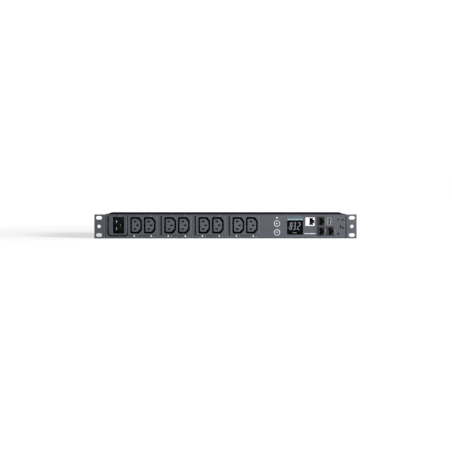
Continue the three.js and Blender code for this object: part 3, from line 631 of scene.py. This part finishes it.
# %% Screws
def cross_outline(arm, half_width):
    """The twelve corners of a plus sign, anticlockwise."""
    corners = []
    for turn in range(4):
        a = radians(90 * turn)
        for u, v in ((half_width, half_width), (half_width, arm), (-half_width, arm)):
            corners.append((u * cos(a) - v * sin(a), u * sin(a) + v * cos(a)))
    return corners


def cross_screw(name, head_radius, head_height, shank_radius, length, finish):
    """A pan-head screw along -y: the head's seat is at y = 0, its top at y = -head_height."""
    steps = 48
    shape = bmesh.new()

    def loop(radius, y):
        turns = [2 * pi * i / steps for i in range(steps)]
        return [shape.verts.new((radius * MM * cos(t), y * MM, radius * MM * sin(t))) for t in turns]

    crown = head_height * 0.45
    outer = [loop(head_radius - crown + crown * cos(a), -head_height + crown - crown * sin(a))
             for a in (radians(90 * step / 5) for step in range(6))]
    loops = [loop(shank_radius, length), loop(shank_radius, 0), loop(head_radius, 0), *outer]
    for near, far in zip(loops, loops[1:]):
        for i in range(steps):
            j = (i + 1) % steps
            shape.faces.new((near[i], near[j], far[j], far[i]))
    shape.faces.new(loops[0])
    arm, half_width, depth = head_radius * 0.55, head_radius * 0.13, head_height * 0.6
    rim = [shape.verts.new((u * MM, -head_height * MM, v * MM)) for u, v in cross_outline(arm, half_width)]
    floor = [shape.verts.new((u * 0.8 * MM, (-head_height + depth) * MM, v * 0.8 * MM))
             for u, v in cross_outline(arm, half_width)]
    for i in range(12):
        j = (i + 1) % 12
        shape.faces.new((rim[i], rim[j], floor[j], floor[i]))
    shape.faces.new(floor)
    top_edges = [e for v in loops[-1] for e in v.link_edges if e.other_vert(v) in loops[-1]]
    rim_edges = [e for v in rim for e in v.link_edges if e.other_vert(v) in rim]
    bmesh.ops.bridge_loops(shape, edges=list(set(top_edges)) + list(set(rim_edges)))
    bmesh.ops.recalc_face_normals(shape, faces=shape.faces)
    marks = shape.faces.layers.float.new("edge")
    for face in shape.faces:
        face[marks] = 0.0
    return object_from(shape, name, finish)


PAN_HEAD, SUNK_HEAD = 1.8, 1.1  # radii in mm; the holes are 1.3
PAN_PLACES = ((215.8, 12.3), (215.8, -2.7), (207.6, 12.7), (207.6, -13.4))
SUNK_PLACES = ((-215.8, 12.3), (-215.8, -2.7))  # beside the inlet's bezel, with no room for a head
for name, radius, depth, places in (("panel_screws", PAN_HEAD, -0.02, PAN_PLACES),
                                    ("sunk_screws", SUNK_HEAD, 1.2, SUNK_PLACES)):
    pattern = cross_screw(f"{name}_pattern", radius, 0.8, 0.9, 3.0, black_screw)
    spots = [(x * MM, panel_front + depth * MM, panel_middle + z * MM) for x, z in places]
    group = flattened_normals(copies_at(name, spots, pattern, black_screw))
    settle(group, "strip", "screw_steel")
    print(len(places), name.replace("_", " "))

for side, turn in (("left", pi / 2), ("right", -pi / 2)):
    for kind in (f"ear_screw_{side}_upper", f"ear_screw_{side}_lower", f"cover_screw_{side}"):
        low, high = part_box(kind)
        outer_x, inner_x = (low.x, high.x) if side == "left" else (high.x, low.x)
        sign = 1 if side == "right" else -1
        seat_x = outer_x - sign * 2 * MM
        pan = cross_screw(f"{kind}_pan", 3.5, 2.0, 1.9, abs(seat_x - inner_x) / MM, black_screw)
        place = Matrix.Translation((seat_x, (low.y + high.y) / 2, (low.z + high.z) / 2))
        pan.data.transform(place @ Matrix.Rotation(-turn, 4, "Z"))
        pan = flattened_normals(pan)
        settle(pan, "strip", slot_of[kind], kind)
print("six pan-head screws turned into place")

# %% [markdown]
# ## Contacts inside the sockets
# A socket looks empty without its metal. Each slot of an outlet hides a pair of sprung leaves a little way
# in, and each network jack holds eight gilded wires on the side away from its latch. They are tiny, so one
# leaf pair and one comb of wires are modelled plainly and set out by the same tree.

# %% Contacts
def leaf_pair():
    shape = bmesh.new()
    for side in (-1, 1):
        inner, outer = side * 0.75 * MM, side * 1.15 * MM
        block(shape, (-2.2 * MM, 0, min(inner, outer)), (2.2 * MM, 10 * MM, max(inner, outer)))
        lip = side * 1.3 * MM
        block(shape, (-2.2 * MM, -0.4 * MM, min(outer, lip)), (2.2 * MM, 0.6 * MM, max(outer, lip)))
    return object_from(shape, "leaf_pattern", nickel)


def wire_comb():
    """Eight sprung wires, one above another, each leaning into the mouth from its left wall."""
    shape = bmesh.new()
    wire, rise = 0.22 * MM, 1.02 * MM
    route = [(0.5, 5.2), (0.9, 4.8), (1.4, 5.0), (3.2, 8.5), (3.4, 9.2)]
    for i in range(8):
        z = (i - 3.5) * rise
        rings = []
        for x, y in route:
            corners = ((-wire, -wire), (wire, -wire), (wire, wire), (-wire, wire))
            rings.append([shape.verts.new((x * MM + dx, y * MM, z + dz)) for dx, dz in corners])
        for near, far in zip(rings, rings[1:]):
            for a in range(4):
                b = (a + 1) % 4
                shape.faces.new((near[a], near[b], far[b], far[a]))
        shape.faces.new(rings[0])
        shape.faces.new(rings[-1])
    bmesh.ops.recalc_face_normals(shape, faces=shape.faces)
    return object_from(shape, "comb_pattern", shaded_gilding)


leaf_places = []
for number in range(1, 9):
    low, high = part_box(f"outlet_core_{number}")
    x, z = (low.x + high.x) / 2, (low.z + high.z) / 2
    for dx, dz in ((-2, 7), (2.4, 0), (-2, -7)):
        leaf_places.append((x + dx * MM, low.y + 8 * MM, z + dz * MM))
leaves = copies_at("outlet_contact_leaves", leaf_places, leaf_pair(), nickel)
settle(leaves, "strip", "plated_blade")

MOUTH_LEFT = {"ethernet_jack": 7.6, "serial_jack": 4.4, "sensor_jack_left": 4.4, "sensor_jack_right": 4.1}
MOUTH_RISE = {"ethernet_jack": 0.3, "serial_jack": -0.2, "sensor_jack_left": 0.05, "sensor_jack_right": 0.05}
comb_places = []
for node, left in MOUTH_LEFT.items():
    low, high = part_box(node)
    comb_places.append((low.x + left * MM, low.y + 3 * MM, (low.z + high.z) / 2 + MOUTH_RISE[node] * MM))
combs = copies_at("jack_contact_wires", comb_places, wire_comb(), shaded_gilding)
settle(combs, "strip", "bright_steel")

# %% [markdown]
# ## Printing
# The panel carries printed marks: a number by each lamp, short labels beside the sockets and a coloured
# band over the display. Real lettering is replaced by rows of small blocks that spell nothing, and only
# plain digits stay. Ink has no thickness to speak of, so each mark is a slab a few hundredths of a
# millimetre proud.

# %% Helpers for printing
INK = 0.04 * MM


def bars(name, boxes, finish, y, slot="ring_plastic", body="strip"):
    """Flat marks, each (x, z, width, height) in mm from the strip's middle, on the face at y."""
    shape = bmesh.new()
    for x, z, width, height in boxes:
        low = ((x - width / 2) * MM, y - INK, panel_middle + (z - height / 2) * MM)
        high = ((x + width / 2) * MM, y + INK, panel_middle + (z + height / 2) * MM)
        block(shape, low, high)
    piece = object_from(shape, name, finish)
    for face in piece.data.polygons:
        face.use_smooth = False
    return settle(piece, body, slot)


LETTER_PITCH = 1.1  # mm from one block to the next, about
LETTER_FILL = 0.66  # of the pitch


def lettering(x, z, width, height, upright=False):
    """Boxes that stand for a short printed word: a row of small blocks of changing height."""
    count = max(2, round((height if upright else width) / LETTER_PITCH))
    word = []
    for i in range(count):
        offset = ((i + 0.5) / count - 0.5) * (height if upright else width)
        tall = (0.72 + 0.28 * sin(3.7 * i + x)) * (width if upright else height)
        thick = LETTER_FILL * (height if upright else width) / count
        word.append((x, z + offset, tall, thick) if upright else (x + offset, z, thick, tall))
    return word


def words(*places, upright=False):
    return [box for place in places for box in lettering(*place, upright=upright)]


# %% [markdown]
# ## Labels and the band
# Labels sit where a person looks for them: beside each socket, over the display and on the bezels. Each
# row of blocks is given by its middle, width and height in millimetres, so the list reads like a print
# layout.

# %% Labels and band
bezel_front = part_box("outlet_housing_1")[0].y
outlet_x = [sum(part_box(f"outlet_core_{n}")[i].x for i in (0, 1)) / 2 / MM for n in range(1, 9)]
bars("outlet_ticks", words(*((x + 3.3, 19.2, 4.6, 1.6) for x in outlet_x), (-194, 19.2, 4.6, 1.6)), grey_ink,
     bezel_front)
bars("inlet_tick", words((-194, -18.3, 4.8, 1.7)), grey_ink, panel_front)
bars("settings_block", words(*((x, z, w, 1.3) for x, z, w in (
    (101.5, 18.2, 5.5), (108.5, 18.2, 5), (100.6, 15.9, 3.6), (107.2, 15.9, 7.6),
    (101.8, 13.6, 6), (109.2, 13.6, 4), (107, 11.3, 8.4)))), dim_ink, panel_front)
bars("display_band", [(127.8, 15.3, 29.4, 7.6)], blue_ink, panel_front)
bars("display_band_marks", words((117.2, 13.1, 7, 2.9), (125.4, 13.1, 8, 2.6), (133.2, 13.1, 5.4, 2.8),
                                 (139.2, 13.1, 5, 2.6)), sky_ink, panel_front - INK)
bars("nameplate_marks", words((155.2, -13.1, 21.8, 2.1)), pale_ink, panel_front)
bars("socket_labels", words((165.9, 13.8, 1.3, 4), (165.9, 5.6, 1.3, 3.4), (183.6, 13.4, 1.4, 5.4),
                            (183.6, 6.8, 1.4, 4.4), (183.5, -8.2, 1.6, 5.6), (195.4, 9.7, 1.4, 6.4),
                            (201, -9, 1.5, 8), upright=True), grey_ink, panel_front)
print("labels, a band and a name line")

# %% [markdown]
# ## Lamp numbers
# The lamps' numbers are ordinary digits, so a text object writes them, and they become a mesh before they
# are placed.

# %% Lamp numbers
def digit_mesh(text, height):
    curve = bpy.data.curves.new("digit", "FONT")
    curve.body = text
    curve.size = height
    curve.align_x = "CENTER"
    curve.align_y = "CENTER"
    curve.extrude = INK
    writer = bpy.data.objects.new("digit", curve)
    bpy.context.collection.objects.link(writer)
    mesh = bpy.data.meshes.new_from_object(writer.evaluated_get(bpy.context.evaluated_depsgraph_get()))
    bpy.data.objects.remove(writer)
    return mesh


NUMBER_HEIGHT, NUMBER_RIGHT, NUMBER_DROP = 4.2, 6.2, 0.4  # right of its lamp, and below it
numbers = bmesh.new()
for i, place in enumerate(lens_places):
    mesh = digit_mesh(str(i + 1), NUMBER_HEIGHT * MM)
    corner = (place[0] + NUMBER_RIGHT * MM, panel_front, place[2] - NUMBER_DROP * MM)
    mesh.transform(Matrix.Translation(corner) @ Matrix.Rotation(pi / 2, 4, "X"))
    numbers.from_mesh(mesh)
bmesh.ops.remove_doubles(numbers, verts=numbers.verts, dist=0.001 * MM)
settle(object_from(numbers, "lamp_numbers", number_ink), "strip", "ring_plastic")
print("eight lamp numbers")

# %% [markdown]
# ## Display figures
# The display's figures are made of seven bars with pointed ends, as a segment display's are. A table of
# which bars light for each digit is all it takes.

# %% Display figures
SEGMENTS = {"2": "abged", "3": "abgcd", "8": "abcdefg"}


def segment(shape, middle, along, length, thickness, lean):
    """A six-sided bar on the window: along is the direction of its length, 'x' or 'z'."""
    half, point = length / 2, thickness / 2
    outline = [(-half, 0), (-half + point, -point), (half - point, -point),
               (half, 0), (half - point, point), (-half + point, point)]
    faces = []
    for depth in (-INK, INK):
        verts = []
        for u, v in outline:
            dx, dz = (u, v) if along == "x" else (v, u)
            z = middle[1] + dz
            verts.append(shape.verts.new((middle[0] + dx + lean * z, depth, z)))
        faces.append(verts)
    front, back = faces
    shape.faces.new(front)
    shape.faces.new(back[::-1])
    for i in range(6):
        j = (i + 1) % 6
        shape.faces.new((front[i], back[i], back[j], front[j]))


def figure(shape, digit, centre_x, width, height, thickness, lean=0.08):
    w, h = width / 2, height / 2
    places = {"a": (0, h, "x"), "g": (0, 0, "x"), "d": (0, -h, "x"), "f": (-w, h / 2, "z"),
              "b": (w, h / 2, "z"), "e": (-w, -h / 2, "z"), "c": (w, -h / 2, "z")}
    for name in SEGMENTS[digit]:
        x, z, along = places[name]
        length = (width if along == "x" else h) * 0.94
        segment(shape, (centre_x + x, z), along, length, thickness, lean)


FIGURE_WIDTH, FIGURE_HEIGHT, BAR_THICKNESS = 3.4, 12.6, 1.15
low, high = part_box("display_window")
figures = bmesh.new()
for digit, centre_x in (("8", -7.2), ("3", -1.1), ("2", 7.3)):
    figure(figures, digit, centre_x * MM, FIGURE_WIDTH * MM, FIGURE_HEIGHT * MM, BAR_THICKNESS * MM)
segment(figures, (3.2 * MM, -5.6 * MM), "x", 1.2 * MM, 1.1 * MM, 0.08)
segment(figures, (-11.8 * MM, -3.2 * MM), "x", 2.2 * MM, 1.1 * MM, 0.08)
bmesh.ops.recalc_face_normals(figures, faces=figures.faces)
window_middle = Vector(((low.x + high.x) / 2, low.y, panel_middle + 0.6 * MM))
bmesh.ops.translate(figures, verts=figures.verts, vec=window_middle)
shown = object_from(figures, "display_figures", segment_glow)
for face in shown.data.polygons:
    face.use_smooth = False
settle(shown, "strip", "display_gloss")
bars("display_unit_marks", words((124.4, -11.6, 3.2, 1.7), (129, -11.6, 3.8, 1.7)), segment_glow, low.y,
     "display_gloss")
print("three display figures")

# %% [markdown]
# ## Symbols on the buttons, and a painted shadow under the inlet
# The upper cap carries a dot and the lower one a hooked return arrow, plain symbols that many devices share.
# They ride with the caps. A black strip round the foot of the inlet's bezel is a painted shadow: it shows as
# a dark line round its lower corners, where the bezel's shade falls. Both are flat outlines with a thickness,
# so one function makes them.

# %% Button symbols and the painted shadow
def flat_shape(name, outlines, centre, y, finish, body, half_thickness=INK):
    """Flat outlines (x, z) in mm about a centre, given a little thickness."""
    shape = bmesh.new()
    for outline in outlines:
        corners = [(centre[0] + u * MM, centre[1] + v * MM) for u, v in outline]
        front = [shape.verts.new((x, y - half_thickness, z)) for x, z in corners]
        back = [shape.verts.new((x, y + half_thickness, z)) for x, z in corners]
        shape.faces.new(front)
        shape.faces.new(back[::-1])
        for i in range(len(outline)):
            j = (i + 1) % len(outline)
            shape.faces.new((front[i], back[i], back[j], front[j]))
    bmesh.ops.recalc_face_normals(shape, faces=shape.faces)
    piece = object_from(shape, name, finish)
    for face in piece.data.polygons:
        face.use_smooth = False
    return settle(piece, body, "ring_plastic")


# Painted shadow: a matt black strip that shows beside and below the inlet's bezel, in place of its shade.
SHADOW_SIDE, SHADOW_FOOT = 1.1, 2.2  # how far it shows beside and below the bezel
BEZEL_CORNER = 4.6  # the bezel's lower corner radius
low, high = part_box("inlet_housing")
half_width, foot = (high.x - low.x) / 2 / MM, (low.z - panel_middle) / MM


def shadow_outline_path(side, below):
    """Down the bezel's left side, round its two lower corners and up its right side."""
    middle_x, middle_z = half_width - BEZEL_CORNER, foot + BEZEL_CORNER
    path = [(-half_width - side, foot + 9)]
    for corner_x, start in ((-middle_x, 180), (middle_x, 270)):
        for a in range(start, start + 91, 10):
            path.append((corner_x + (BEZEL_CORNER + side) * cos(radians(a)),
                         middle_z + (BEZEL_CORNER + below) * sin(radians(a))))
    return path + [(half_width + side, foot + 9)]


painted_shadow = [shadow_outline_path(0.05, 0.05) + shadow_outline_path(SHADOW_SIDE, SHADOW_FOOT)[::-1]]
flat_shape("inlet_seal", painted_shadow, ((low.x + high.x) / 2, panel_middle), panel_front - 0.5 * MM, soft_rubber,
           "strip", 0.45 * MM)
print(f"a seal {2 * (half_width + SHADOW_SIDE):.1f} mm across")

dot = [(1.2 * cos(2 * pi * i / 24), 1.2 * sin(2 * pi * i / 24)) for i in range(24)]
hook = [(1.6 * cos(radians(a)) + 0.3, 1.6 * sin(radians(a))) for a in range(-90, 91, 15)]
hook += [(0.9 * cos(radians(a)) + 0.3, 0.9 * sin(radians(a))) for a in range(90, -91, -15)]
hook_tail = [(-1.6, 0.9), (0.3, 0.9), (0.3, 1.6), (-1.6, 1.6)]
arrow_head = [(-2.8, 1.25), (-1.5, 0.2), (-1.5, 2.3)]
for level, outlines in (("upper", [dot]), ("lower", [hook, hook_tail, arrow_head])):
    low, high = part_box(f"button_cap_{level}")
    centre = ((low.x + high.x) / 2, (low.z + high.z) / 2)
    flat_shape(f"button_symbol_{level}", outlines, centre, low.y + 0.2 * MM, pale_ink, f"button_{level}")
print("two button symbols")

# %% [markdown]
# ## Inside the case
# The boards, relays, bars and wires are out of sight but still part of the strip, so each workshop piece
# keeps its shape and gets a fitting finish. Wire insulation is a soft satin plastic.

# %% Inside the case
def dressed(finish, *nodes):
    for node in nodes:
        frame["nodes"][node].data.materials.clear()
        frame["nodes"][node].data.materials.append(finish)


dressed(board_green, "display_board", "network_board", "relay_board")
dressed(black_plastic, "relay_bank_left", "relay_bank_right", "current_transformer", "supply_capacitor",
        "switch_body_upper", "switch_body_lower", "switch_plunger_upper", "switch_plunger_lower",
        "display_module")
dressed(bright_steel, "supply_transformer", "supply_fuse", "earth_stud")
dressed(copper, "busbar_neutral", "busbar_earth")
dressed(moulded("line_insulation", (0.15, 0.05, 0.015), 0.45), "line_wire")
dressed(moulded("neutral_insulation", (0.03, 0.16, 0.46), 0.45), "neutral_wire")
dressed(moulded("earth_insulation", (0.12, 0.42, 0.05), 0.45), "earth_wire")
still_shown = [name for name, node in frame["nodes"].items() if not node.hide_render]
print(len(still_shown), "workshop pieces carried over:", sorted(still_shown))

# %% [markdown]
# ## Floor and world
# The strip lies on a pale floor that glows a little by itself, with a painted shade round the strip. The
# world behind is white and dims towards the front, as in a small studio.

# %% Floor and world
def studio_floor(near, far):
    """Pale paper that glows a little by itself, less round the strip: a painted shade there, so that its
    shadow shows.
    """
    shape = bmesh.new()
    bmesh.ops.create_grid(shape, x_segments=4, y_segments=4, size=30)
    finish, tree, shader = new_finish("studio_floor", roughness=0.9, specular=0.0)
    paper = between(tree, noise(tree, 3, 2.0), 0.0, 1.0)
    tree.links.new(blended(tree, paper, (0.46, 0.46, 0.46), (0.48, 0.48, 0.48)), shader.inputs["Base Color"])
    place = tree.nodes.new("ShaderNodeTexCoord")
    reach = tree.nodes.new("ShaderNodeVectorMath")
    reach.operation = "LENGTH"
    tree.links.new(place.outputs["Object"], reach.inputs[0])
    # Painted shade: the floor's glow drops from far, away from the strip, to near, round it.
    glow = between(tree, reach.outputs["Value"], near, far, 0.35, 1.3)
    shader.inputs["Emission Color"].default_value = (1, 1, 1, 1)
    tree.links.new(glow, shader.inputs["Emission Strength"])
    floor = object_from(shape, "studio_floor", finish)
    return floor


def studio_world(front, back, top):
    world = bpy.data.worlds.new("studio_world")
    bpy.context.scene.world = world
    world.use_nodes = True
    tree = world.node_tree
    sky = tree.nodes["Background"]
    place = tree.nodes.new("ShaderNodeTexCoord")
    split = tree.nodes.new("ShaderNodeSeparateXYZ")
    tree.links.new(place.outputs["Generated"], split.inputs["Vector"])
    wall = between(tree, split.outputs["Y"], front, back, -0.1, 0.8)
    height = between(tree, split.outputs["Z"], 0.0, 1.0, 0.1, 0.4)
    fade = tree.nodes.new("ShaderNodeMix")
    tree.links.new(height, fade.inputs["Factor"])
    tree.links.new(wall, fade.inputs[2])
    fade.inputs[3].default_value = top
    tree.links.new(fade.outputs[0], sky.inputs["Strength"])
    sky.inputs["Color"].default_value = (1, 1, 1, 1)


# near is the floor's glow round the strip, a painted shade; far is its glow away from it.
studio_floor(near=0.62, far=0.95)
studio_world(front=0.27, back=1.05, top=0.14)

# %% [markdown]
# ## Light
# A broad soft light stands to the right in front, a little above the strip, so the panel is brighter at
# its right end.

# %% Lights
def soft_light(name, place, target, size, power):
    data = bpy.data.lights.new(name, "AREA")
    data.shape = "RECTANGLE"
    data.size, data.size_y = size
    data.energy = power
    lamp = bpy.data.objects.new(name, data)
    lamp.location = place
    lamp.rotation_euler = (Vector(target) - Vector(place)).to_track_quat("-Z", "Y").to_euler()
    bpy.context.collection.objects.link(lamp)
    return lamp


soft_light("key_light", place=(1.35, -1.35, 0.5), target=(0.05, -0.09, 0.02), size=(0.7, 0.4), power=110)
print("one soft light")

# %% [markdown]
# ## Camera
# A long lens keeps the strip's edges nearly parallel. It stands about two degrees above square on, so
# that a thin line of the lid shows over the panel.

# %% Camera
CAMERA_DISTANCE = 3.09  # from the panel's face
CAMERA_RISE = 0.075  # above the lid
SEEN_WIDTH = 0.831  # of the panel's plane across the picture
CAMERA_X = 0.00094
TARGET_RISE = 0.0008  # above the strip's middle
lid_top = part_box("top_cover")[1].z
lens = bpy.data.cameras.new("camera")
lens.lens = lens.sensor_width * CAMERA_DISTANCE / SEEN_WIDTH
lens.clip_start, lens.clip_end = 0.05, 100
camera = bpy.data.objects.new("camera", lens)
camera.location = (CAMERA_X, panel_front - CAMERA_DISTANCE, lid_top + CAMERA_RISE)
target = Vector((CAMERA_X, panel_front, lid_top / 2 + TARGET_RISE))
camera.rotation_euler = (target - camera.location).to_track_quat("-Z", "Y").to_euler()
bpy.context.collection.objects.link(camera)
bpy.context.scene.camera = camera
bpy.context.scene.view_settings.view_transform = "Standard"
print(f"lens {lens.lens:.0f} mm at {CAMERA_DISTANCE} m")
